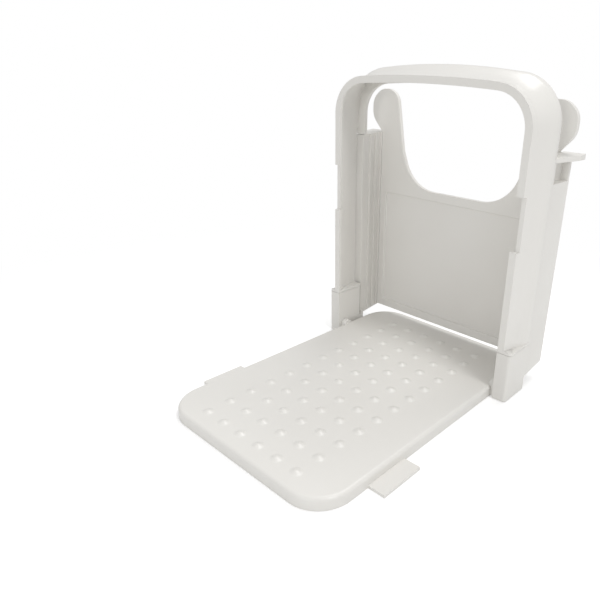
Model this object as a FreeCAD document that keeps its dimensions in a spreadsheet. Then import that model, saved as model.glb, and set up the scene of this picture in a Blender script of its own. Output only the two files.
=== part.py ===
import FreeCAD, Part
import math
import os
import re

import Sketcher

# Folding guide for slicing bread: a base plate, a frame that hinges down over it
# (an arch between two slotted side walls) and a stop plate that lifts out of the walls.
# X runs across, Y from the loading end to the stop, Z up. The origin is at the centre
# of the base plate's underside.

doc = FreeCAD.newDocument("bread_slicer_guide")
sheet = doc.addObject("Spreadsheet::Sheet", "dims")
NAMES = []


def dim(name, size):
    NAMES.append(name)
    row = str(len(NAMES))
    sheet.set("A" + row, name)
    sheet.set("B" + row, str(size))
    sheet.setAlias("B" + row, name)


# Base plate.
dim("base_gap", 2.5)
dim("base_length", 220)
dim("base_height", 8)
dim("base_corner", 23)
dim("base_round", 2.5)
dim("base_skin", 2.5)
dim("base_rim", 3.2)
dim("rib_thick", 2)
dim("rib_pitch", 70)
dim("boss_size", 16)
dim("pip_size", 7)
dim("pip_rise", 1.2)
dim("pip_slope", 40)
dim("pip_pitch", 16.6)
dim("pip_columns", 6)
dim("pip_rows", 12)
dim("pip_margin", 12.6)
dim("tab_reach", 11.7)
dim("tab_length", 31.5)
dim("tab_thick", 2)
dim("tab_from_end", 36.5)
dim("lug_thick", 4.5)
dim("lug_wall", 2.2)

# Hinge.
dim("pivot_height", 6.9)
dim("pivot_from_end", 50.1)
dim("pin_size", 4)
dim("pin_in_lug", 3.5)
dim("pin_in_foot", 7)
dim("pin_play", 0.1)
dim("side_play", 0.3)

# Frame in plan.
dim("passage_width", 150)
dim("leg_width", 10)
dim("front_depth", 26)
dim("knife_slot", 2)
dim("back_flange", 2.5)
dim("front_flange", 2.5)
dim("arch_web", 3)

# Arch in elevation.
dim("arch_height", 216)
dim("front_drop", 0.5)
dim("front_crown", 200)
dim("back_crown", 700)
dim("front_corner", 31)
dim("back_corner", 32)
dim("arch_bar", 12.5)
dim("inner_crown", 830)
dim("inner_corner", 22)
dim("front_strip", 4)
dim("front_round", 4.5)
dim("front_crease", 22)
dim("back_inset", 0.8)
dim("back_round", 1.4)
dim("slot_from_top", 48)
dim("notch_low", 107)
dim("notch_high", 142)
dim("notch_depth", 3)
dim("notch_inner", 2.5)

# Foot of the frame.
dim("foot_height", 36)
dim("foot_back_gap", 0.3)
dim("foot_round", 1.2)
dim("foot_corner", 2.5)
dim("foot_step", 0.5)
dim("seam_gap", 0.3)
dim("ledge_height", 1)
dim("shoulder_rise", 3.2)
dim("cove_depth", 1.9)
dim("cove_height", 24)
dim("cove_lip", 2.5)
dim("tongue_thick", 5)
dim("tongue_width", 15)
dim("tongue_depth", 20)
dim("tongue_play", 0.25)
dim("rail_low", 1)
dim("rail_high", 9.3)
dim("rail_thick", 4)

# Side walls behind the knife slot.
dim("wall_low", 9)
dim("wall_rise", 3)
dim("wall_depth", 26.3)
dim("wall_sheet", 2.5)
dim("channel_depth", 1.5)
dim("skin_inset", 1)
dim("pocket_low", 147)
dim("pocket_high", 160)
dim("channel_pitch", 6.25)
dim("channel_count", 3)
dim("channel_rib", 1.2)
dim("wing_reach", 7.6)
dim("wing_thick", 4.5)
dim("wing_fall", 2.2)
dim("wing_lift", 0.8)
dim("wing_tip", 8)
dim("wing_back", 2.2)
dim("wing_top", 165)

# Stop plate.
dim("plate_thick", 3.4)
dim("plate_field", 2)
dim("plate_rim", 7)
dim("plate_play", 0.3)
dim("plate_low", 13)
dim("plate_seat", 0)
dim("ear_rise", 32.4)
dim("ear_root_rise", 11)
dim("ear_side_rise", 25)
dim("ear_over", 1)
dim("ear_shoulder", 8)
dim("ear_inset", 14)
dim("ear_round", 12)
dim("notch_floor", 123)
dim("mouth_inset", 22)
dim("mouth_drop", 14)
dim("floor_inset", 33)
dim("notch_round", 30)
doc.recompute()

# Places that several pieces share.
BASE_HALF = "(passage_width / 2 - base_gap)"
END = "(base_length / 2)"
PIVOT_Y = "(base_length / 2 - pivot_from_end)"
FRONT = "(base_length / 2 - pivot_from_end - pivot_height)"
INNER = "(passage_width / 2)"
OUTER = "(passage_width / 2 + leg_width)"
SLOT_FRONT = "(" + FRONT + " + front_depth)"
SLOT_BACK = "(" + SLOT_FRONT + " + knife_slot)"
WALL_BACK = "(" + SLOT_BACK + " + wall_depth)"
WEB_IN = "(" + INNER + " + channel_depth)"
WEB_OUT = "(" + WEB_IN + " + wall_sheet)"
SKIN_OUT = "(" + OUTER + " - skin_inset)"
PLATE_HALF = "(" + WEB_IN + " - plate_play)"
PLATE_BACK = "(" + WALL_BACK + " - channel_rib - plate_play)"
FOOT_LONG = "(front_depth - foot_back_gap)"
FOOT_BACK = "(" + FRONT + " + " + FOOT_LONG + ")"
LEG_LOW = "(foot_height + seam_gap)"


def bind(text):
    return re.sub(r"[a-z][a-z_]+", lambda m: "dims." + m.group() if m.group() in NAMES else m.group(), text)


def val(text):
    return float(sheet.evalExpression(bind(text)))


def tie(obj, prop, text):
    obj.setExpression(prop, bind(text))


def origin_plane(body, role):
    for feature in body.Origin.OriginFeatures:
        if feature.Role == role:
            return feature
    return None


def new_body(label):
    body = doc.addObject("PartDesign::Body", label)
    body.Label = label
    return body


def new_sketch(body, name, role, offset):
    sketch = body.newObject("Sketcher::SketchObject", name)
    sketch.AttachmentSupport = [(origin_plane(body, role), "")]
    sketch.MapMode = "FlatFace"
    tie(sketch, "AttachmentOffset.Base.z", offset)
    return sketch


def pin_point(sketch, geo, pos, across, up):
    for kind, text in (("DistanceX", across), ("DistanceY", up)):
        size = val(text)
        if abs(size) < 1e-9:
            axis = -2 if kind == "DistanceX" else -1
            sketch.addConstraint(Sketcher.Constraint("PointOnObject", geo, pos, axis))
        else:
            index = sketch.addConstraint(Sketcher.Constraint(kind, -1, 1, geo, pos, size))
            tie(sketch, "Constraints[%d]" % index, text)


def outline(sketch, corners):
    first = sketch.GeometryCount
    count = len(corners)
    spots = [FreeCAD.Vector(val(a), val(b), 0) for a, b in corners]
    for i in range(count):
        sketch.addGeometry(Part.LineSegment(spots[i], spots[(i + 1) % count]), False)
    for i in range(count):
        after = first + (i + 1) % count
        sketch.addConstraint(Sketcher.Constraint("Coincident", first + i, 2, after, 1))
    for i in range(count):
        pin_point(sketch, first + i, 1, corners[i][0], corners[i][1])


def rectangle(sketch, left, right, low, high):
    outline(sketch, [(left, low), (right, low), (right, high), (left, high)])


def circle(sketch, across, up, radius):
    centre = FreeCAD.Vector(val(across), val(up), 0)
    geo = sketch.addGeometry(Part.Circle(centre, FreeCAD.Vector(0, 0, 1), val(radius)), False)
    pin_point(sketch, geo, 3, across, up)
    index = sketch.addConstraint(Sketcher.Constraint("Radius", geo, val(radius)))
    tie(sketch, "Constraints[%d]" % index, radius)


def pad(body, sketch, name, length, back=False):
    feature = body.newObject("PartDesign::Pad", name)
    feature.Profile = sketch
    tie(feature, "Length", length)
    feature.Reversed = back
    doc.recompute()
    return feature


def pocket(body, sketch, name, length, back=False):
    before = body.Shape.Volume
    feature = body.newObject("PartDesign::Pocket", name)
    feature.Profile = sketch
    tie(feature, "Length", length)
    feature.Reversed = back
    doc.recompute()
    if body.Shape.Volume > before - 0.01:
        raise RuntimeError(name + " cut nothing")
    return feature


def round_edges(body, name, radius, wanted):
    base = body.Tip
    edges = []
    for i, edge in enumerate(base.Shape.Edges):
        if wanted(edge):
            edges.append("Edge%d" % (i + 1))
    feature = body.newObject("PartDesign::Fillet", name)
    feature.Base = (base, edges)
    tie(feature, "Radius", radius)
    doc.recompute()
    return feature


def repeat(body, name, source, axis, length, count):
    feature = body.newObject("PartDesign::LinearPattern", name)
    feature.Originals = [source]
    feature.Direction = axis
    tie(feature, "Length", length)
    tie(feature, "Occurrences", count)
    body.Tip = feature
    doc.recompute()
    return feature


def straight(edge, axis):
    run = edge.Vertexes[-1].Point - edge.Vertexes[0].Point
    return run.Length > 1e-6 and abs(abs(run.dot(axis)) - run.Length) < 1e-6


def close(a, b):
    return abs(a - b) < 0.02


X_AXIS = FreeCAD.Vector(1, 0, 0)
Y_AXIS = FreeCAD.Vector(0, 1, 0)
Z_AXIS = FreeCAD.Vector(0, 0, 1)


# The moulded base: an open-bottomed tray with a rounded rim, ribs underneath and rows
# of small pips on top that keep the loaf from sliding.
def make_base():
    body = new_body("base_plate")
    sketch = new_sketch(body, "BaseOutline", "XY_Plane", "0")
    rectangle(sketch, "-" + BASE_HALF, BASE_HALF, "-base_length / 2", END)
    pad(body, sketch, "BaseSlab", "base_height")
    round_edges(body, "BaseCorners", "base_corner", lambda e: straight(e, Z_AXIS))
    top = val("base_height")
    round_edges(body, "BaseEdge", "base_round", lambda e: close(e.BoundBox.ZMin, top))

    sketch = new_sketch(body, "TrayOutline", "XY_Plane", "0")
    side = "(passage_width / 2 - base_gap - base_rim)"
    end = "(base_length / 2 - base_rim)"
    corner = "(base_corner - base_rim)"
    reach = "(base_corner - base_rim) * (1 - sqrt(0.5))"
    outline(sketch, [
        ("-" + side + " + " + corner, "-" + end), (side + " - " + corner, "-" + end),
        (side + " - " + reach, "-" + end + " + " + reach),
        (side, "-" + end + " + " + corner), (side, end + " - " + corner),
        (side + " - " + reach, end + " - " + reach),
        (side + " - " + corner, end), ("-" + side + " + " + corner, end),
        ("-" + side + " + " + reach, end + " - " + reach),
        ("-" + side, end + " - " + corner), ("-" + side, "-" + end + " + " + corner),
        ("-" + side + " + " + reach, "-" + end + " + " + reach),
    ])
    pocket(body, sketch, "Tray", "base_height - base_skin", True)

    depth = "base_height - base_skin / 2"
    sketch = new_sketch(body, "LongRibOutline", "XY_Plane", "0")
    rectangle(sketch, "-rib_thick / 2", "rib_thick / 2",
              "-base_length / 2 + base_rim / 2", "base_length / 2 - base_rim / 2")
    pad(body, sketch, "LongRib", depth)
    sketch = new_sketch(body, "CrossRibOutline", "XY_Plane", "0")
    rectangle(sketch, "-" + BASE_HALF + " + base_rim / 2", BASE_HALF + " - base_rim / 2",
              "-rib_pitch / 2 - rib_thick / 2", "-rib_pitch / 2 + rib_thick / 2")
    rib = pad(body, sketch, "CrossRib", depth)
    repeat(body, "CrossRibPair", rib, (sketch, ["V_Axis"]), "rib_pitch", "2")
    sketch = new_sketch(body, "GateBoss", "XY_Plane", "0")
    circle(sketch, "0", "0", "boss_size / 2")
    pad(body, sketch, "Boss", depth)

    # Rest tabs for the folded frame.
    for word, sign in (("Right", ""), ("Left", "-")):
        sketch = new_sketch(body, word + "TabOutline", "XY_Plane", "0")
        rectangle(sketch, sign + "(" + BASE_HALF + " - base_rim / 2)", sign + "(" + BASE_HALF + " + tab_reach)",
                  "-base_length / 2 + tab_from_end", "-base_length / 2 + tab_from_end + tab_length")
        pad(body, sketch, word + "Tab", "tab_thick")

    # Hinge lugs: upright cheeks with a round top about the pivot.
    lug_out = "(passage_width / 2 - side_play)"
    radius = "(pin_size / 2 + lug_wall)"
    for word, sign, back in (("Right", "", True), ("Left", "-", False)):
        sketch = new_sketch(body, word + "LugBlock", "YZ_Plane", sign + lug_out)
        rectangle(sketch, PIVOT_Y + " - " + radius + " - 0.01", PIVOT_Y + " + " + radius + " + 0.01",
                  "0", "pivot_height")
        pad(body, sketch, word + "LugFoot", "lug_thick", back)
        sketch = new_sketch(body, word + "LugRound", "YZ_Plane", sign + lug_out)
        circle(sketch, PIVOT_Y, "pivot_height", radius)
        pad(body, sketch, word + "Lug", "lug_thick", back)
        sketch = new_sketch(body, word + "LugBore", "YZ_Plane", sign + lug_out)
        circle(sketch, PIVOT_Y, "pivot_height", "pin_size / 2")
        pocket(body, sketch, word + "Bore", "pin_in_lug", not back)

    sketch = new_sketch(body, "Pip", "XY_Plane", "base_height - 0.2")
    across = "-(pip_columns - 1) * pip_pitch / 2"
    along = "-base_length / 2 + pip_margin"
    signs = ((-1, -1), (-0.414, -1), (0.414, -1), (1, -1), (1, -0.414), (1, 0.414), (1, 1), (0.414, 1),
             (-0.414, 1), (-1, 1), (-1, 0.414), (-1, -0.414))
    corners = [(a, b) for a, b in signs if abs(a) != abs(b)]
    outline(sketch, [(across + " + %s * pip_size / 2" % a, along + " + %s * pip_size / 2" % b) for a, b in corners])
    pip = pad(body, sketch, "Pips", "pip_rise + 0.2")
    tie(pip, "TaperAngle", "-pip_slope")
    doc.recompute()
    row = repeat(body, "PipRow", pip, (sketch, ["H_Axis"]), "pip_pitch * (pip_columns - 1)", "pip_columns")
    row.Direction2 = (sketch, ["V_Axis"])
    tie(row, "Length2", "pip_pitch * (pip_rows - 1)")
    tie(row, "Occurrences2", "pip_rows")
    doc.recompute()
    return body



# One side of the frame: the foot block with the pivot bore and the arch's socket, a low
# rail under the knife slot, and the hollow wall behind the slot with the channels that
# take the stop plate, a finger pocket and a wing to lift the frame by.
def make_side(label, sign):
    body = new_body(label)
    left = sign == "-"
    word = "Left" if left else "Right"

    def side_sketch(name, across):
        return new_sketch(body, word + name, "YZ_Plane", sign + across)

    def plan_sketch(name, height):
        return new_sketch(body, word + name, "XY_Plane", height)

    def pad_out(sketch, name, length):
        return pad(body, sketch, word + name, length, left)

    def cut_out(sketch, name, length):
        return pocket(body, sketch, word + name, length, not left)

    sketch = side_sketch("FootOutline", INNER)
    rectangle(sketch, FRONT, FOOT_BACK, "0", "foot_height")
    pad_out(sketch, "Foot", "leg_width + foot_step")
    front = val(FRONT)
    outer = val(OUTER + " + foot_step")
    round_edges(body, word + "FootCorner", "foot_corner",
                lambda e: straight(e, Z_AXIS) and close(e.BoundBox.YMax, front)
                and close(abs(e.BoundBox.XMax + e.BoundBox.XMin) / 2, outer))
    round_edges(body, word + "FootSole", "foot_round",
                lambda e: straight(e, X_AXIS) and close(e.BoundBox.ZMax, 0))
    sketch = side_sketch("PivotBoreOutline", INNER)
    circle(sketch, PIVOT_Y, "pivot_height", "pin_size / 2 + pin_play")
    cut_out(sketch, "PivotBore", "pin_in_foot + pin_play")
    sketch = plan_sketch("SocketOutline", "foot_height")
    middle = "(passage_width / 2 + leg_width / 2)"
    rectangle(sketch, sign + "(" + middle + " - tongue_thick / 2 - tongue_play)",
              sign + "(" + middle + " + tongue_thick / 2 + tongue_play)",
              FRONT + " + " + FOOT_LONG + " / 2 - tongue_width / 2 - tongue_play",
              FRONT + " + " + FOOT_LONG + " / 2 + tongue_width / 2 + tongue_play")
    pocket(body, sketch, word + "Socket", "tongue_depth + tongue_play")

    sketch = side_sketch("RailOutline", INNER)
    flange_back = SLOT_BACK + " + back_flange"
    outline(sketch, [
        (FOOT_BACK + " - 2 * foot_round", "rail_low"), (flange_back, "rail_low"),
        (flange_back, "wall_low + wall_rise"), (SLOT_BACK, "wall_low + wall_rise"),
        (SLOT_BACK, "rail_high"), (FOOT_BACK + " - 2 * foot_round", "rail_high"),
    ])
    pad_out(sketch, "Rail", "rail_thick")

    sketch = plan_sketch("WallOutline", "wall_low")
    rectangle(sketch, sign + WEB_IN, sign + SKIN_OUT, SLOT_BACK, WALL_BACK)
    pad(body, sketch, word + "Wall", "wing_top - wall_low")
    sketch = plan_sketch("WallHollow", "wall_low")
    rectangle(sketch, sign + WEB_OUT, sign + "(" + SKIN_OUT + " - wall_sheet)",
              SLOT_BACK + " + back_flange", WALL_BACK + " - wall_sheet")
    pocket(body, sketch, word + "Hollow", "pocket_low - wall_sheet - wall_low", True)
    sketch = side_sketch("WallSlope", "(passage_width / 2 - 1)")
    outline(sketch, [(flange_back, "wall_low - 1"), (WALL_BACK + " + 1", "wall_low - 1"),
                     (WALL_BACK + " + 1", "wall_low + wall_rise"), (flange_back, "wall_low")])
    cut_out(sketch, "Slope", "leg_width + 2")
    sketch = side_sketch("FingerPocketOutline", OUTER)
    rectangle(sketch, SLOT_BACK + " + back_flange", WALL_BACK + " - wall_sheet", "pocket_low", "pocket_high")
    pocket(body, sketch, word + "FingerPocket", "leg_width - channel_depth - wall_sheet", left)

    sketch = plan_sketch("WingOutline", "wing_top - wing_thick")
    outline(sketch, [
        (sign + WEB_IN, SLOT_BACK), (sign + SKIN_OUT, SLOT_BACK),
        (sign + "(" + SKIN_OUT + " + wing_reach)", WALL_BACK + " + wing_back - wing_tip"),
        (sign + "(" + SKIN_OUT + " + wing_reach)", WALL_BACK + " + wing_back"),
        (sign + WEB_IN, WALL_BACK + " + wing_back"),
    ])
    pad(body, sketch, word + "Wing", "wing_thick")
    sketch = new_sketch(body, word + "WingLiftOutline", "XZ_Plane", "-(" + WALL_BACK + " + wing_back + 1)")
    under = "(wing_top - wing_thick)"
    outline(sketch, [(sign + SKIN_OUT, under + " - 0.01"),
                     (sign + "(" + SKIN_OUT + " + wing_reach + 1)", under + " - 0.01"),
                     (sign + "(" + SKIN_OUT + " + wing_reach + 1)", under + " + wing_lift")])
    pocket(body, sketch, word + "WingLift", "wall_depth + wing_back + 2", True)

    rib_low = "wall_low + wall_rise"
    sketch = side_sketch("ChannelRibOutline", INNER)
    last = "(" + PLATE_BACK + " - plate_thick - plate_play - channel_rib)"
    first = "(" + last + " - (channel_count - 1) * channel_pitch)"
    rectangle(sketch, first, first + " + channel_rib", rib_low, "wing_top")
    rib = pad_out(sketch, "ChannelRib", "channel_depth + wall_sheet / 2")
    repeat(body, word + "Channels", rib, (sketch, ["H_Axis"]),
           "channel_pitch * (channel_count - 1)", "channel_count")
    sketch = side_sketch("BackRibOutline", INNER)
    rectangle(sketch, WALL_BACK + " - channel_rib", WALL_BACK, rib_low, "wing_top")
    pad_out(sketch, "BackRib", "channel_depth + wall_sheet / 2")

    # The top falls towards the knife slot.
    sketch = side_sketch("TopSlope", "(passage_width / 2 - 1)")
    outline(sketch, [(SLOT_BACK + " - 1", "wing_top - wing_fall"), (WALL_BACK + " + wing_back + 1", "wing_top"),
                     (WALL_BACK + " + wing_back + 1", "wing_top + 1"), (SLOT_BACK + " - 1", "wing_top + 1")])
    cut_out(sketch, "TopFall", "leg_width + wing_reach + 2")
    return body


# The stop plate: a panel as wide as the channels, cut away in a deep rounded notch with
# an ear on each side that hooks over the side wall and is pulled to lift it out.
def make_stop():
    body = new_body("stop_plate")
    sketch = new_sketch(body, "StopOutline", "XZ_Plane", "-" + PLATE_BACK)
    reach = "(passage_width / 2 + leg_width + ear_over)"
    shoulder = "(passage_width / 2 + leg_width - ear_shoulder)"
    inset = "(passage_width / 2 - ear_inset)"
    foot = "(passage_width / 2 - floor_inset)"
    half = [(PLATE_HALF, "plate_low"), (PLATE_HALF, "wing_top + plate_seat"),
            (reach, "wing_top + ear_root_rise"), (reach, "wing_top + ear_side_rise"),
            (shoulder, "wing_top + ear_rise"), (inset, "wing_top + ear_rise"),
            ("(passage_width / 2 - mouth_inset)", "wing_top - mouth_drop"), (foot, "notch_floor")]
    other = [("-" + across, up) for across, up in reversed(half)]
    outline(sketch, half + other)
    pad(body, sketch, "StopPanel", "plate_thick")
    def corner(edge, across, high):
        box = edge.BoundBox
        return straight(edge, Y_AXIS) and close(abs(box.XMax), val(across)) and close(box.ZMax, val(high))

    round_edges(body, "NotchRound", "notch_round", lambda e: corner(e, foot, "notch_floor"))
    round_edges(body, "EarRound", "ear_round",
                lambda e: corner(e, reach, "wing_top + ear_root_rise")
                or corner(e, reach, "wing_top + ear_side_rise")
                or corner(e, shoulder, "wing_top + ear_rise") or corner(e, inset, "wing_top + ear_rise"))
    sketch = new_sketch(body, "FieldOutline", "XZ_Plane", "-(" + PLATE_BACK + " - plate_thick)")
    rectangle(sketch, "-(" + PLATE_HALF + " - plate_rim)", PLATE_HALF + " - plate_rim",
              "plate_low + plate_rim", "notch_floor - plate_rim")
    pocket(body, sketch, "StopField", "plate_thick - plate_field")
    return body


# Hinge pins, set in the base plate's lugs and turning in the frame's feet.
def make_pin(label, sign):
    pin = doc.addObject("Part::Cylinder", label)
    pin.Label = label
    tie(pin, "Radius", "pin_size / 2")
    length = "(pin_in_lug + side_play + pin_in_foot)"
    tie(pin, "Height", length)
    pin.Placement = FreeCAD.Placement(FreeCAD.Vector(), FreeCAD.Rotation(Y_AXIS, 90))
    start = "(passage_width / 2 - side_play - pin_in_lug)"
    if sign == "-":
        start = "(-passage_width / 2 - pin_in_foot)"
    tie(pin, ".Placement.Base.x", start)
    tie(pin, ".Placement.Base.y", PIVOT_Y)
    tie(pin, ".Placement.Base.z", "pivot_height")
    return pin


# The closed outline of an arch at one depth: two legs, two round corners and a slightly
# crowned top, each arc tangent to the next.
def arch_wire(depth, half, top, crown, corner, low):
    across = half - corner
    rise = math.sqrt((crown - corner) ** 2 - across ** 2)
    spring = top - crown + rise
    tip = FreeCAD.Vector(across, 0, rise) * (crown / (crown - corner))
    tip.z = tip.z + top - crown
    lean = FreeCAD.Vector(across, 0, rise) * (1 / (crown - corner)) + X_AXIS
    mid = FreeCAD.Vector(across, 0, spring) + lean * (corner / lean.Length)

    def spot(point, flip=1):
        return FreeCAD.Vector(flip * point.x, depth, point.z)

    foot = FreeCAD.Vector(half, 0, low)
    knee = FreeCAD.Vector(half, 0, spring)
    crest = FreeCAD.Vector(0, 0, top)
    edges = [
        Part.LineSegment(spot(foot, -1), spot(foot)).toShape(),
        Part.LineSegment(spot(foot), spot(knee)).toShape(),
        Part.Arc(spot(knee), spot(mid), spot(tip)).toShape(),
        Part.Arc(spot(tip), spot(crest), spot(tip, -1)).toShape(),
        Part.Arc(spot(tip, -1), spot(mid, -1), spot(knee, -1)).toShape(),
        Part.LineSegment(spot(knee, -1), spot(foot, -1)).toShape(),
    ]
    return Part.Wire(edges)


def block(left, right, front, back, low, high):
    corner = FreeCAD.Vector(left, front, low)
    return Part.makeBox(right - left, back - front, high - low, corner)


def mirrored(shape):
    return shape.mirror(FreeCAD.Vector(), X_AXIS)


# The arch: one moulding, a channel open to the inside that runs up one leg, over the
# top and down the other, split down both legs by the knife slot. The back flange ends
# on the side walls; the front part goes down to the feet and holds in their sockets.
def make_arch():
    front = val(FRONT)
    inner = val(INNER)
    outer = val(OUTER)
    web = val("arch_web")
    low = val(LEG_LOW)
    slot_front = val(SLOT_FRONT)
    slot_back = val(SLOT_BACK)
    back = slot_back + val("back_flange")
    top = val("arch_height")
    round_end = front + val("front_round")
    strip_inset = outer - inner - val("front_strip")

    # The outline changes evenly from the crowned front to the flatter back.
    def section(depth, inset, base):
        share = (depth - round_end) / (back - round_end)
        height = top - (1 - share) * val("front_drop") - inset
        crown = 1 / ((1 - share) / val("front_crown") + share / val("back_crown")) - inset
        corner = (1 - share) * val("front_corner") + share * val("back_corner") - inset
        return arch_wire(depth, outer - inset, height, crown, corner, base)

    sections = []
    crease = math.radians(val("front_crease"))
    for step in range(6):
        lean = crease + (math.pi / 2 - crease) * step / 5
        inset = strip_inset * (1 - math.sin(lean)) / (1 - math.sin(crease))
        depth = front + val("front_round") * (math.cos(crease) - math.cos(lean)) / math.cos(crease)
        sections.append(section(depth, inset, low))
    sections.append(section(slot_front, 0, low))
    sections.append(section(slot_front + val("back_inset") / 2, val("back_inset"), low))
    sections.append(section(back - val("back_round"), val("back_inset"), low))
    sections.append(section(back, val("back_inset") + val("back_round"), low))
    body = Part.makeLoft(sections, True, True)
    opening = arch_wire(front - 1, inner, top - val("arch_bar"), val("inner_crown"), val("inner_corner"), low - 1)
    opening = Part.Face(opening).extrude(FreeCAD.Vector(0, back - front + 2, 0))
    body = body.cut(opening)
    inside = front + val("front_flange")
    ledge_top = low + val("ledge_height")
    rise = val("shoulder_rise")
    floor = ledge_top + 1.25 * rise
    hollow = Part.makeLoft([section(inside, web, floor), section(slot_back, web, floor)], True, True)
    body = body.cut(hollow)

    slot_high = top - val("slot_from_top")
    leg_end = val("wing_top - wing_fall + 2 * seam_gap")
    knife = block(inner - 1, outer + 1, slot_front, slot_back, low - 1, slot_high)
    back_leg = block(inner - 1, outer + 1, slot_back - 1, back + 1, low - 1, leg_end)
    notch_low = val("notch_low")
    notch_high = val("notch_high")
    step = front + val("notch_depth")
    notch = block(inner - 1, outer + 1, front - 1, step, notch_low, notch_high)
    lip = val("front_flange")
    panel_in = inner + val("notch_inner")
    panel = block(panel_in, outer - web / 2, step, step + lip, notch_low - lip, notch_high + lip)
    sill = block(panel_in, outer - web / 2, front + lip / 2, step + lip, notch_low - lip, notch_low)
    lintel = block(panel_in, outer - web / 2, front + lip / 2, step + lip, notch_high, notch_high + lip)
    middle = (inner + outer) / 2
    thick = val("tongue_thick") / 2
    wide = val("tongue_width") / 2
    centre = front + val(FOOT_LONG) / 2
    sunk = val("foot_height") - val("tongue_depth")
    tongue = block(middle - thick, middle + thick, centre - wide, centre + wide, sunk, floor)

    # The foot's outline carries on over the seam as a low band, and a slanted shoulder
    # leads from it to the leg, which is drawn in a little above it.
    edge = outer + val("foot_step")
    shelf = outer - val("cove_depth")
    ledge = block(inner, edge, front, front + val(FOOT_LONG), low, floor)
    rim = [line for line in ledge.Edges if straight(line, Z_AXIS)
           and close(line.BoundBox.XMax, edge) and close(line.BoundBox.YMax, front)]
    ledge = ledge.makeFillet(val("foot_corner"), rim)
    slant = Part.makePolygon([
        FreeCAD.Vector(inner, front - 1, low), FreeCAD.Vector(edge, front - 1, low),
        FreeCAD.Vector(edge, front - 1, ledge_top), FreeCAD.Vector(shelf - (edge - shelf) / 4, front - 1, floor),
        FreeCAD.Vector(inner, front - 1, floor), FreeCAD.Vector(inner, front - 1, low)])
    ledge = ledge.common(Part.Face(slant).extrude(FreeCAD.Vector(0, slot_back - front + 1, 0)))
    brow = ledge_top + rise + val("cove_height")
    cove = Part.makePolygon([
        FreeCAD.Vector(shelf, front - 1, ledge_top), FreeCAD.Vector(outer + 2, front - 1, ledge_top),
        FreeCAD.Vector(outer + 2, front - 1, brow), FreeCAD.Vector(outer, front - 1, brow),
        FreeCAD.Vector(shelf, front - 1, ledge_top + rise), FreeCAD.Vector(shelf, front - 1, ledge_top)])
    cove = Part.Face(cove).extrude(FreeCAD.Vector(0, val(FOOT_LONG) - val("cove_lip") + 1, 0))
    cuts = [knife, back_leg, notch, cove]
    adds = [panel, sill, lintel, tongue, ledge]
    body = body.cut(cuts + [mirrored(shape) for shape in cuts])
    body = body.fuse(adds + [mirrored(shape) for shape in adds]).removeSplitter()
    if len(body.Solids) != 1:
        raise RuntimeError("the arch is not one solid")
    arch = doc.addObject("Part::Feature", "guide_arch")
    arch.Label = "guide_arch"
    arch.Shape = body.Solids[0]
    return arch


PIECES = [
    make_base(),
    make_arch(),
    make_side("left_side_wall", "-"),
    make_side("right_side_wall", ""),
    make_stop(),
    make_pin("left_pivot_pin", "-"),
    make_pin("right_pivot_pin", ""),
]
doc.recompute()

for obj in doc.Objects:
    if "Invalid" in obj.State or "Error" in obj.State:
        raise RuntimeError(obj.Name + " failed: " + str(obj.State))
for piece in PIECES:
    shape = piece.Shape
    if shape.isNull() or not shape.isValid() or len(shape.Solids) != 1:
        raise RuntimeError(piece.Label + " is not one valid solid")

os.makedirs("parts", exist_ok=True)
for piece in PIECES:
    piece.Shape.exportStep("parts/" + piece.Label + ".step")
    box = piece.Shape.optimalBoundingBox(False, False)
    print(piece.Label, round(piece.Shape.Volume), [round(n, 1) for n in (
        box.XMin, box.XMax, box.YMin, box.YMax, box.ZMin, box.ZMax)], len(piece.Shape.Faces))
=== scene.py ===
"""Finish for a folding bread slicer guide: soft edges, a slanted arch skin and grip domes."""

import math

import bmesh
import bpy
import numpy as np
from mathutils import Matrix, Vector


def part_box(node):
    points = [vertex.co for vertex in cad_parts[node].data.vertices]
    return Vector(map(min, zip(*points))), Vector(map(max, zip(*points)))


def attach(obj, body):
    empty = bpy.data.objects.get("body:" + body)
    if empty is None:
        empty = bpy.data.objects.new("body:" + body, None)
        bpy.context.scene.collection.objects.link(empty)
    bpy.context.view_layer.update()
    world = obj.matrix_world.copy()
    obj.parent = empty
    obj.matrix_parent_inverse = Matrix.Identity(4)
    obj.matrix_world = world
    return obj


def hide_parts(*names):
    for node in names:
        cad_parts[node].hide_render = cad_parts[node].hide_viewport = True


bl_info = {
    "name": "Bread Slicer Guide",
    "version": (1, 0, 0),
    "blender": (4, 5, 0),
    "location": "View3D > Sidebar > Slicer Guide",
    "description": "Moulded plastic finish for a folding bread slicer guide",
    "category": "Object",
}

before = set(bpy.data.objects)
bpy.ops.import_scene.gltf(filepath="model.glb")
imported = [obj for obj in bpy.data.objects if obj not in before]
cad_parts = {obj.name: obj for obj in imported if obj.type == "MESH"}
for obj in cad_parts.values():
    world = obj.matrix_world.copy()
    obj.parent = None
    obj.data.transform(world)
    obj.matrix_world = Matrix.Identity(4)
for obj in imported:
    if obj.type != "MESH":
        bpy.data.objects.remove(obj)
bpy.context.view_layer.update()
MM = 0.001

# Clearing up a moulded mesh, in metres and square metres, with its flat angle in degrees.
SAME_POINT = 0.000002
ON_PLANE = 0.00002
SHORT_EDGE = 0.00001
SLIVER = 1e-9
FLAT = 0.6
BEVEL_STEPS = 3

# Grip domes: points round each dome, rings from rim to tip, how far the rim sinks into the plate,
# and how far past the last row the plain studs are laid flat.
AROUND = 24
RINGS = 9
RIM_SINK = 0.03 * MM
STUD_REACH = 5 * MM

# The arch moulding, in millimetres. Its outer outline runs from a front form to a back form.
ARCH_HALF = 85
ARCH_TOP = 216
FRONT_DROP = 0.5
FRONT_CROWN, BACK_CROWN = 200, 700
FRONT_CORNER, BACK_CORNER = 31, 32
PASSAGE = {"half": 75, "top": 203.5, "crown": 830, "corner": 22}
ROUND_END = 57.5
BACK = 83.5
SLOT = 79
WEB = 3

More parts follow.
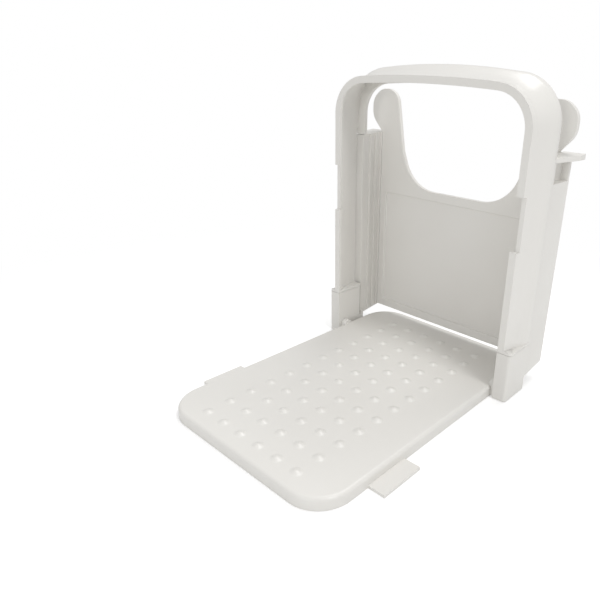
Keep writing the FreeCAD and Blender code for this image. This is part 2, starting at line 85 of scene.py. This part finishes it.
# The shoulder over the foot, the cove above it, and the front rim of the passage.
SHOULDER = 37.3
SHOULDER_RISE = 4.1
SHOULDER_LAID = 4.05
SHOULDER_KEEP = 0.3
BROW = 64.6
COVE_START = 54.4
COVE_END = 76.3
COVE_DEPTH = 2
RIM_LOW = 150
RIM_END = 54.34
WEB_START = 55.4

# How near a point has to be to a surface to belong to it.
ON_SKIN = 0.35
NEAR_SKIN = 0.8
ON_RIM = 0.3
HAIR = 0.05

# The moulded skin's inset by depth, where the rolled front edge is laid, and how far the skin is
# drawn in: the width that the front strip keeps, the share by depth, and the cuts that shape it.
MOULDED_DEPTHS = (53, 53.55, 54.33, 55.28, 56.36, 57.5)
MOULDED_INSETS = (6, 4.01, 2.33, 1.06, 0.27, 0)
LAID_FROM = (53, 54.34, 55.28, 56, 56.36, 57.5, 83.5)
LAID_TO = (53, 53, 54.6, 56, 57.5, 57.5, 83.5)
STRIP = 4.8
DRAWN_DEPTHS = (53, 54.6, 57.5, 62, 66, 69, 72, 74.5, 76.2, 79)
DRAWN_SHARES = (1, 0.93, 0.83, 0.67, 0.52, 0.38, 0.22, 0.09, 0.02, 0)
DRAW_CUTS = (62, 66, 69, 72, 74.5, 76.2)


class GuidePlastic(bpy.types.PropertyGroup):
    """Colours and surface of the moulded plastic"""

    colour: bpy.props.FloatVectorProperty(
        name="Plastic", description="Colour of the off-white moulding", subtype="COLOR", size=4,
        min=0, max=1, default=(0.805, 0.79, 0.755, 1))
    shade: bpy.props.FloatVectorProperty(
        name="Deep plastic", description="Slightly greyer colour where the resin flowed unevenly",
        subtype="COLOR", size=4, min=0, max=1, default=(0.787, 0.77, 0.734, 1))
    roughness: bpy.props.FloatProperty(
        name="Roughness", description="Roughness of the satin skin", subtype="FACTOR",
        min=0, max=1, default=0.3)
    grain: bpy.props.FloatProperty(
        name="Grain", description="Depth of the fine spark-eroded grain", subtype="FACTOR",
        min=0, max=1, default=0.06)


class GuideSizes(bpy.types.PropertyGroup):
    """Sizes of the finish that lies on the moulded parts"""

    edge: bpy.props.FloatProperty(
        name="Edge radius", description="Softness of the outer edges", subtype="DISTANCE", unit="LENGTH",
        default=0.0006)
    thin_edge: bpy.props.FloatProperty(
        name="Thin edge radius", description="Softness of the edges of thin walls", subtype="DISTANCE",
        unit="LENGTH", default=0.0004)
    dome_width: bpy.props.FloatProperty(
        name="Dome width", description="Width of one grip dome", subtype="DISTANCE", unit="LENGTH",
        default=0.0088)
    dome_rise: bpy.props.FloatProperty(
        name="Dome rise", description="Height of one grip dome", subtype="DISTANCE", unit="LENGTH",
        default=0.0012)
    dome_margin: bpy.props.FloatProperty(
        name="Dome margin", description="From the near end of the base to the first row of domes",
        subtype="DISTANCE", unit="LENGTH", default=0.0126)
    plate_top: bpy.props.FloatProperty(
        name="Plate top", description="Height of the flat top of the base", subtype="DISTANCE",
        unit="LENGTH", default=0.008)
    dome_pitch: bpy.props.FloatProperty(
        name="Dome pitch", description="Distance between neighbouring domes", subtype="DISTANCE",
        unit="LENGTH", default=0.0166)
    dome_columns: bpy.props.IntProperty(
        name="Dome columns", description="Domes across the base", default=6)
    dome_rows: bpy.props.IntProperty(
        name="Dome rows", description="Domes along the base", default=12)


def link(name, mesh):
    """Puts a mesh in the scene as an object of that name."""
    piece = bpy.data.objects.new(name, mesh)
    bpy.context.scene.collection.objects.link(piece)
    return piece


def ring_faces(rings, around):
    """Four-sided faces between rings of points, each ring closed."""
    across = np.arange(around)
    down = np.arange(rings - 1)[:, None]
    after = (across + 1) % around
    quads = np.stack(np.broadcast_arrays(
        down * around + across, down * around + after,
        (down + 1) * around + after, (down + 1) * around + across), axis=-1)
    return quads.reshape(-1, 4)


def cut_across(shell, place, facing):
    """Cuts a shell by a plane and returns the edges that the cut makes."""
    everything = list(shell.verts) + list(shell.edges) + list(shell.faces)
    cut = bmesh.ops.bisect_plane(
        shell, geom=everything, dist=ON_PLANE, plane_co=place, plane_no=facing)
    return [item for item in cut["geom_cut"] if isinstance(item, bmesh.types.BMEdge)]


def clear_slivers(shell):
    """Joins each face of no area to its neighbour across its longest edge."""
    shell.edges.index_update()
    slivers = [face for face in shell.faces if face.calc_area() < SLIVER]
    longest = {max(face.edges, key=lambda edge: edge.calc_length()) for face in slivers}
    bmesh.ops.dissolve_edges(
        shell, edges=sorted(longest, key=lambda edge: edge.index), use_verts=False)


def softened(node, name, width, fold=32, cuts=(), reshape=None, halved=False):
    """A merged copy of a moulded part whose edges sharper than the fold angle are rounded to the
    given radius; before that it may be cut across at some depths and its points laid anew. A part
    with a framed field is halved, so that each flat face is one outline without a hole."""
    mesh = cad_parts[node].data.copy()
    mesh.name = name
    shell = bmesh.new()
    shell.from_mesh(mesh)
    bmesh.ops.remove_doubles(shell, verts=shell.verts, dist=SAME_POINT)
    for depth in cuts:
        cut_across(shell, (0, depth, 0), (0, 1, 0))
    shell.to_mesh(mesh)
    shell.free()
    if reshape:
        flat = np.empty(3 * len(mesh.vertices), dtype=np.float32)
        mesh.vertices.foreach_get("co", flat)
        points = reshape(flat.reshape(-1, 3).astype(float))
        mesh.vertices.foreach_set("co", points.astype(np.float32).ravel())
    shell = bmesh.new()
    shell.from_mesh(mesh)
    bmesh.ops.remove_doubles(shell, verts=shell.verts, dist=SHORT_EDGE)
    bmesh.ops.dissolve_degenerate(shell, edges=shell.edges, dist=SHORT_EDGE)
    clear_slivers(shell)
    if halved:
        for edge in cut_across(shell, (0, 0, 0), (1, 0, 0)):
            edge.seam = True
    bmesh.ops.dissolve_limit(
        shell, angle_limit=math.radians(FLAT), verts=shell.verts, edges=shell.edges,
        use_dissolve_boundaries=False, delimit={"SEAM"})
    shell.to_mesh(mesh)
    shell.free()
    mesh.materials.clear()
    mesh.shade_smooth()
    mesh.set_sharp_from_angle(angle=math.radians(fold))
    piece = link(name, mesh)
    bevel = piece.modifiers.new("Soft edges", "BEVEL")
    bevel.width = width
    bevel.segments = BEVEL_STEPS
    bevel.limit_method = "ANGLE"
    bevel.angle_limit = math.radians(fold)
    bevel.miter_outer = "MITER_ARC"
    bevel.use_clamp_overlap = True
    bevel.harden_normals = True
    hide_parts(node)
    return piece


def skin_group():
    """Moulded skin: a broad drift of tone, a fine grain and faint handling scuffs."""
    name = "Moulded skin"
    if name in bpy.data.node_groups:
        return bpy.data.node_groups[name]
    group = bpy.data.node_groups.new(name, "ShaderNodeTree")
    face = group.interface
    for label, kind, size in (("Colour", "NodeSocketColor", (0.8, 0.8, 0.8, 1)),
                              ("Shade", "NodeSocketColor", (0.75, 0.75, 0.75, 1)),
                              ("Roughness", "NodeSocketFloat", 0.36), ("Grain", "NodeSocketFloat", 0.1)):
        socket = face.new_socket(name=label, in_out="INPUT", socket_type=kind)
        socket.default_value = size
    for label, kind in (("Colour", "NodeSocketColor"), ("Roughness", "NodeSocketFloat"),
                        ("Normal", "NodeSocketVector")):
        face.new_socket(name=label, in_out="OUTPUT", socket_type=kind)
    nodes = group.nodes
    links = group.links
    source = nodes.new("NodeGroupInput")
    sink = nodes.new("NodeGroupOutput")
    place = nodes.new("ShaderNodeTexCoord")

    def noise(scale, detail, rough):
        node = nodes.new("ShaderNodeTexNoise")
        node.inputs["Scale"].default_value = scale
        node.inputs["Detail"].default_value = detail
        node.inputs["Roughness"].default_value = rough
        links.new(place.outputs["Object"], node.inputs["Vector"])
        return node

    drift = noise(14, 2, 0.5)
    tone = nodes.new("ShaderNodeMix")
    tone.data_type = "RGBA"
    spread = nodes.new("ShaderNodeMapRange")
    spread.inputs["From Min"].default_value = 0.4
    spread.inputs["From Max"].default_value = 0.7
    links.new(drift.outputs["Fac"], spread.inputs["Value"])
    links.new(spread.outputs["Result"], tone.inputs["Factor"])
    links.new(source.outputs["Colour"], tone.inputs["A"])
    links.new(source.outputs["Shade"], tone.inputs["B"])
    links.new(tone.outputs["Result"], sink.inputs["Colour"])

    scuff = noise(55, 5, 0.65)
    wear = nodes.new("ShaderNodeMapRange")
    wear.inputs["From Min"].default_value = 0.45
    wear.inputs["From Max"].default_value = 0.75
    wear.inputs["To Min"].default_value = -0.015
    wear.inputs["To Max"].default_value = 0.05
    add = nodes.new("ShaderNodeMath")
    links.new(scuff.outputs["Fac"], wear.inputs["Value"])
    links.new(wear.outputs["Result"], add.inputs[0])
    links.new(source.outputs["Roughness"], add.inputs[1])
    links.new(add.outputs["Value"], sink.inputs["Roughness"])

    grain = noise(1800, 2, 0.5)
    flow = noise(30, 1, 0.5)
    depth = nodes.new("ShaderNodeMath")
    depth.operation = "MULTIPLY_ADD"
    depth.inputs[1].default_value = 0.02
    links.new(grain.outputs["Fac"], depth.inputs[0])
    links.new(flow.outputs["Fac"], depth.inputs[2])
    bump = nodes.new("ShaderNodeBump")
    bump.inputs["Distance"].default_value = 0.0006
    links.new(source.outputs["Grain"], bump.inputs["Strength"])
    links.new(depth.outputs["Value"], bump.inputs["Height"])
    links.new(bump.outputs["Normal"], sink.inputs["Normal"])
    return group


def plastic(name, tint=1.0, rough=0.0):
    """Off-white satin plastic; tint scales its colour and rough shifts its roughness."""
    finish = bpy.context.scene.guide_plastic
    material = bpy.data.materials.new(name)
    material.use_nodes = True
    nodes = material.node_tree.nodes
    links = material.node_tree.links
    shader = nodes["Principled BSDF"]
    skin = nodes.new("ShaderNodeGroup")
    skin.node_tree = skin_group()
    skin.inputs["Colour"].default_value = [c * tint for c in finish.colour[:3]] + [1]
    skin.inputs["Shade"].default_value = [c * tint for c in finish.shade[:3]] + [1]
    skin.inputs["Roughness"].default_value = finish.roughness + rough
    skin.inputs["Grain"].default_value = finish.grain
    links.new(skin.outputs["Colour"], shader.inputs["Base Color"])
    links.new(skin.outputs["Roughness"], shader.inputs["Roughness"])
    links.new(skin.outputs["Normal"], shader.inputs["Normal"])
    shader.inputs["IOR"].default_value = 1.49
    return material


def pick_by_camera(tree, plain, shown, output):
    """Gives an output one shader to light the scene with and another one for the camera to see."""
    ray = tree.nodes.new("ShaderNodeLightPath")
    pick = tree.nodes.new("ShaderNodeMixShader")
    tree.links.new(ray.outputs["Is Camera Ray"], pick.inputs["Fac"])
    tree.links.new(plain, pick.inputs[1])
    tree.links.new(shown, pick.inputs[2])
    tree.links.new(pick.outputs["Shader"], tree.nodes[output].inputs["Surface"])


def dress(piece, material, body):
    """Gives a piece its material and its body."""
    piece.data.materials.clear()
    piece.data.materials.append(material)
    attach(piece, body)


class GUIDE_OT_base(bpy.types.Operator):
    """Base plate with soft edges and its field of grip domes"""

    bl_idname = "guide.base"
    bl_label = "Base plate"

    def execute(self, context):
        sizes = context.scene.guide_sizes
        base = softened(
            "base_plate", "base_moulding", sizes.edge,
            reshape=lambda points: self.lay_studs(points, sizes))
        material = plastic("base plastic")
        dress(base, material, "base")
        dress(self.domes(sizes), material, "base")
        return {"FINISHED"}

    def lay_studs(self, points, sizes):
        """Lays the plain studs flat, because the smooth domes take their place."""
        reach = (sizes.dome_columns / 2) * sizes.dome_pitch
        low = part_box("base_plate")[0]
        end = low[1] + sizes.dome_rows * sizes.dome_pitch + STUD_REACH
        above = points[:, 2] > sizes.plate_top
        studs = above & (np.abs(points[:, 0]) < reach) & (points[:, 1] < end)
        points[studs, 2] = sizes.plate_top
        return points

    def domes(self, sizes):
        """Grip domes: over a circle the height is the rise times half of one plus the cosine of
        the distance from its middle, which reaches a half turn at the rim, so each dome runs out
        level into the plate; one dome is repeated over a square field."""
        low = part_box("base_plate")[0]
        columns = (np.arange(sizes.dome_columns) - (sizes.dome_columns - 1) / 2) * sizes.dome_pitch
        rows = low[1] + sizes.dome_margin + np.arange(sizes.dome_rows) * sizes.dome_pitch
        turn = np.linspace(0, 2 * np.pi, AROUND, endpoint=False)
        share = np.linspace(1, 1 / RINGS, RINGS)[:, None]
        x = sizes.dome_width / 2 * share * np.cos(turn)
        y = sizes.dome_width / 2 * share * np.sin(turn)
        z = sizes.plate_top + sizes.dome_rise * (0.5 + 0.5 * np.cos(np.pi * share)) + 0 * turn
        z[0] -= RIM_SINK
        ring = np.stack([x, y, z], axis=-1)
        cap = np.array([[0, 0, sizes.plate_top + sizes.dome_rise]])
        one = np.concatenate([ring.reshape(-1, 3), cap])
        sides = ring_faces(RINGS, AROUND)
        inner = (RINGS - 1) * AROUND
        last = np.arange(AROUND)
        tip = np.stack(
            [inner + last, inner + (last + 1) % AROUND, np.full(AROUND, RINGS * AROUND)], axis=-1)
        spots = np.stack(np.meshgrid(columns, rows, indexing="ij"), axis=-1).reshape(-1, 2)
        shift = np.concatenate([spots, np.zeros((len(spots), 1))], axis=1)
        points = one[None] + shift[:, None]
        step = (np.arange(len(spots)) * len(one))[:, None, None]
        quads = (sides[None] + step).reshape(-1, 4)
        tips = (tip[None] + step).reshape(-1, 3)
        mesh = bpy.data.meshes.new("grip_domes")
        mesh.from_pydata(points.reshape(-1, 3).tolist(), [], quads.tolist() + tips.tolist())
        mesh.shade_smooth()
        return link("grip_domes", mesh)


class GUIDE_OT_frame(bpy.types.Operator):
    """Arch and side walls with soft edges"""

    bl_idname = "guide.frame"
    bl_label = "Arch and side walls"

    def execute(self, context):
        sizes = context.scene.guide_sizes
        arch = softened(
            "guide_arch", "arch_moulding", sizes.edge, fold=38, cuts=np.array(DRAW_CUTS) * MM,
            reshape=lambda points: self.draw_in(points / MM) * MM)
        dress(arch, plastic("arch plastic"), "frame")
        walls = plastic("wall plastic", 0.985, 0.02)
        for side in ("left", "right"):
            node = side + "_side_wall"
            wall = softened(node, side + "_wall_moulding", sizes.thin_edge)
            dress(wall, walls, "frame")
        return {"FINISHED"}

    def outline(self, x, z, half, top, crown, corner):
        """Where points lie in an arch outline of two upright legs, two corner arcs and a crown
        arc: the length and direction of the arm from the middle of a point's own arc to the point,
        and its inset, which is the arc's radius less that arm."""
        across = half - corner
        lift = np.sqrt((crown - corner) ** 2 - across ** 2)
        hub = top - crown
        spring = hub + lift
        leg = z < spring
        over = ~leg & (np.abs(x) * lift < across * (z - hub))
        reach = np.where(over, crown, corner)
        arm_x = np.where(leg, corner - half + np.abs(x), np.abs(x) - np.where(over, 0, across))
        arm_z = np.where(leg, 0, z - np.where(over, hub, spring))
        arm = np.hypot(arm_x, arm_z)
        return reach - arm, np.sign(x) * arm_x / arm, arm_z / arm

    def draw_in(self, points):
        """Draws the outer skin of the arch in towards its front edge, in millimetres, so that the
        front strip keeps one width all round: the skin and the inner side of its web move in by
        the bar's width less the strip, times a share that falls with depth, less the moulded
        inset. The shoulder over the foot is lowered and the cove above it is filled."""
        x, y, z = points.T
        back = (y - ROUND_END) / (BACK - ROUND_END)
        front = 1 - back
        inset, away_x, away_z = self.outline(
            x, z, ARCH_HALF, ARCH_TOP - front * FRONT_DROP,
            1 / (front / FRONT_CROWN + back / BACK_CROWN), front * FRONT_CORNER + back * BACK_CORNER)
        bar = -self.outline(x + inset * away_x, z + inset * away_z, **PASSAGE)[0]
        moulded = np.interp(y, MOULDED_DEPTHS, MOULDED_INSETS)
        clear = z > SHOULDER + SHOULDER_RISE
        cove = (inset > ON_SKIN) & (inset < COVE_DEPTH)
        cove &= (z > SHOULDER) & (z < BROW) & (y < COVE_END) & ((y > COVE_START) | clear)
        rim = (np.abs(self.outline(x, z, **PASSAGE)[0]) < ON_RIM) & (z > RIM_LOW)
        skin = np.where(clear, inset < moulded + NEAR_SKIN, (np.abs(inset - moulded) < ON_SKIN) | cove)
        skin &= (y < SLOT) & (z > SHOULDER + HAIR) & ~rim
        web = ~skin & (np.abs(inset - WEB) < NEAR_SKIN) & (y > WEB_START) & (y < SLOT)
        new_y = np.where(skin | (rim & (y < RIM_END)), np.interp(y, LAID_FROM, LAID_TO), y)
        wanted = (bar - STRIP) * np.interp(new_y, DRAWN_DEPTHS, DRAWN_SHARES)
        shift = np.where(skin, wanted - inset, np.where(web, wanted - moulded, 0))
        new_x = x - shift * away_x
        new_z = z - shift * away_z
        low = (new_z > SHOULDER) & (new_z < SHOULDER + SHOULDER_LAID) & (y < SLOT + HAIR)
        new_z = np.where(low, SHOULDER + SHOULDER_KEEP * (new_z - SHOULDER), new_z)
        return np.stack([new_x, new_y, new_z], axis=-1)


class GUIDE_OT_stop(bpy.types.Operator):
    """Stop plate with a soft edge"""

    bl_idname = "guide.stop"
    bl_label = "Stop plate"

    def execute(self, context):
        sizes = context.scene.guide_sizes
        plate = softened("stop_plate", "stop_moulding", sizes.edge, halved=True)
        dress(plate, plastic("stop plastic"), "stop")
        return {"FINISHED"}


class GUIDE_OT_pins(bpy.types.Operator):
    """Hinge pins"""

    bl_idname = "guide.pins"
    bl_label = "Hinge pins"

    def execute(self, context):
        material = plastic("pin plastic", 0.95, 0.08)
        for side in ("left", "right"):
            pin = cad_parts[side + "_pivot_pin"]
            for slot in pin.material_slots:
                slot.material = material
        return {"FINISHED"}


class GUIDE_OT_stage(bpy.types.Operator):
    """Pale floor, soft lights and the camera"""

    bl_idname = "guide.stage"
    bl_label = "Stage"

    def execute(self, context):
        scene = context.scene
        scene.view_settings.view_transform = "Standard"
        self.floor()
        self.world(scene)
        self.lamp("Key", (1.2, -0.2, 1.5), (0, 0, 0.08), 0.5, 8.7)
        self.lamp("Fill", (0.4, -1.7, 0.45), (0, 0, 0.1), 0.35, 3.7)
        self.lamp("Top", (-0.1, 0.8, 1.8), (0, 0, 0), 0.9, 12.6)
        self.camera(scene)
        return {"FINISHED"}

    def floor(self):
        """A pale matt floor that brightens to white away from the guide."""
        mesh = bpy.data.meshes.new("floor")
        half = 6
        corners = [(-half, -half, 0), (half, -half, 0), (half, half, 0), (-half, half, 0)]
        mesh.from_pydata(corners, [], [(0, 1, 2, 3)])
        floor = link("floor", mesh)
        material = bpy.data.materials.new("pale floor")
        material.use_nodes = True
        nodes = material.node_tree.nodes
        links = material.node_tree.links
        shader = nodes["Principled BSDF"]
        shader.inputs["Base Color"].default_value = (0.86, 0.86, 0.86, 1)
        shader.inputs["Roughness"].default_value = 0.9
        glow = nodes.new("ShaderNodeEmission")
        glow.inputs["Strength"].default_value = 0.3
        both = nodes.new("ShaderNodeAddShader")
        links.new(shader.outputs["BSDF"], both.inputs[0])
        links.new(glow.outputs["Emission"], both.inputs[1])
        place = nodes.new("ShaderNodeTexCoord")
        reach = nodes.new("ShaderNodeVectorMath")
        reach.operation = "LENGTH"
        links.new(place.outputs["Object"], reach.inputs[0])
        fade = nodes.new("ShaderNodeMapRange")
        fade.interpolation_type = "SMOOTHSTEP"
        fade.inputs["From Min"].default_value = 0.12
        fade.inputs["From Max"].default_value = 0.45
        links.new(reach.outputs["Value"], fade.inputs["Value"])
        white = nodes.new("ShaderNodeEmission")
        white.inputs["Strength"].default_value = 1.0
        seen = nodes.new("ShaderNodeMixShader")
        links.new(fade.outputs["Result"], seen.inputs["Fac"])
        links.new(both.outputs["Shader"], seen.inputs[1])
        links.new(white.outputs["Emission"], seen.inputs[2])
        pick_by_camera(
            material.node_tree, shader.outputs["BSDF"], seen.outputs["Shader"], "Material Output")
        mesh.materials.append(material)

    def world(self, scene):
        """Even white light all round, behind a white background."""
        world = bpy.data.worlds.new("studio")
        scene.world = world
        world.use_nodes = True
        nodes = world.node_tree.nodes
        sky = nodes["Background"]
        sky.inputs["Color"].default_value = (1, 1, 1, 1)
        sky.inputs["Strength"].default_value = 0.56
        white = nodes.new("ShaderNodeBackground")
        white.inputs["Color"].default_value = (1, 1, 1, 1)
        white.inputs["Strength"].default_value = 1.0
        pick_by_camera(
            world.node_tree, sky.outputs["Background"], white.outputs["Background"], "World Output")

    def lamp(self, name, spot, aim, size, power):
        """A square lamp at a spot, turned to its aim."""
        data = bpy.data.lights.new(name, "AREA")
        data.size = size
        data.energy = power
        lamp = bpy.data.objects.new(name, data)
        lamp.location = spot
        lamp.rotation_euler = (Vector(aim) - Vector(spot)).to_track_quat("-Z", "Y").to_euler()
        bpy.context.scene.collection.objects.link(lamp)

    def camera(self, scene):
        """A camera in front of the right corner, looking down at the guide."""
        turn = math.radians(40.0266)
        tilt = math.radians(22.0933)
        roll = math.radians(2.01675)
        level = math.cos(tilt)
        ahead = Vector((-math.sin(turn) * level, math.cos(turn) * level, -math.sin(tilt)))
        right = Vector((math.cos(turn), math.sin(turn), 0))
        up = right.cross(ahead)
        across = math.cos(roll) * right + math.sin(roll) * up
        above = math.cos(roll) * up - math.sin(roll) * right
        data = bpy.data.cameras.new("Camera")
        data.sensor_width = 36
        data.lens = 33.3
        data.shift_x = -0.13333
        data.shift_y = -0.00583
        camera = bpy.data.objects.new("Camera", data)
        place = Matrix((across, above, -ahead)).transposed().to_4x4()
        place.translation = Vector((0.229, -0.2555, 0.210))
        camera.matrix_world = place
        scene.collection.objects.link(camera)
        scene.camera = camera


OPERATORS = (GUIDE_OT_base, GUIDE_OT_frame, GUIDE_OT_stop, GUIDE_OT_pins, GUIDE_OT_stage)


class GUIDE_PT_panel(bpy.types.Panel):
    """Builds each part of the slicer guide"""

    bl_idname = "GUIDE_PT_panel"
    bl_label = "Slicer Guide"
    bl_space_type = "VIEW_3D"
    bl_region_type = "UI"
    bl_category = "Slicer Guide"

    def draw(self, context):
        column = self.layout.column()
        for operator in OPERATORS:
            column.operator(operator.bl_idname)


CLASSES = (GuidePlastic, GuideSizes) + OPERATORS + (GUIDE_PT_panel,)


def register():
    for item in CLASSES:
        bpy.utils.register_class(item)
    bpy.types.Scene.guide_plastic = bpy.props.PointerProperty(type=GuidePlastic)
    bpy.types.Scene.guide_sizes = bpy.props.PointerProperty(type=GuideSizes)


def unregister():
    del bpy.types.Scene.guide_sizes
    del bpy.types.Scene.guide_plastic
    for item in reversed(CLASSES):
        bpy.utils.unregister_class(item)


def main():
    register()
    bpy.ops.guide.base()
    bpy.ops.guide.frame()
    bpy.ops.guide.stop()
    bpy.ops.guide.pins()
    bpy.ops.guide.stage()


if __name__ == "__main__":
    main()
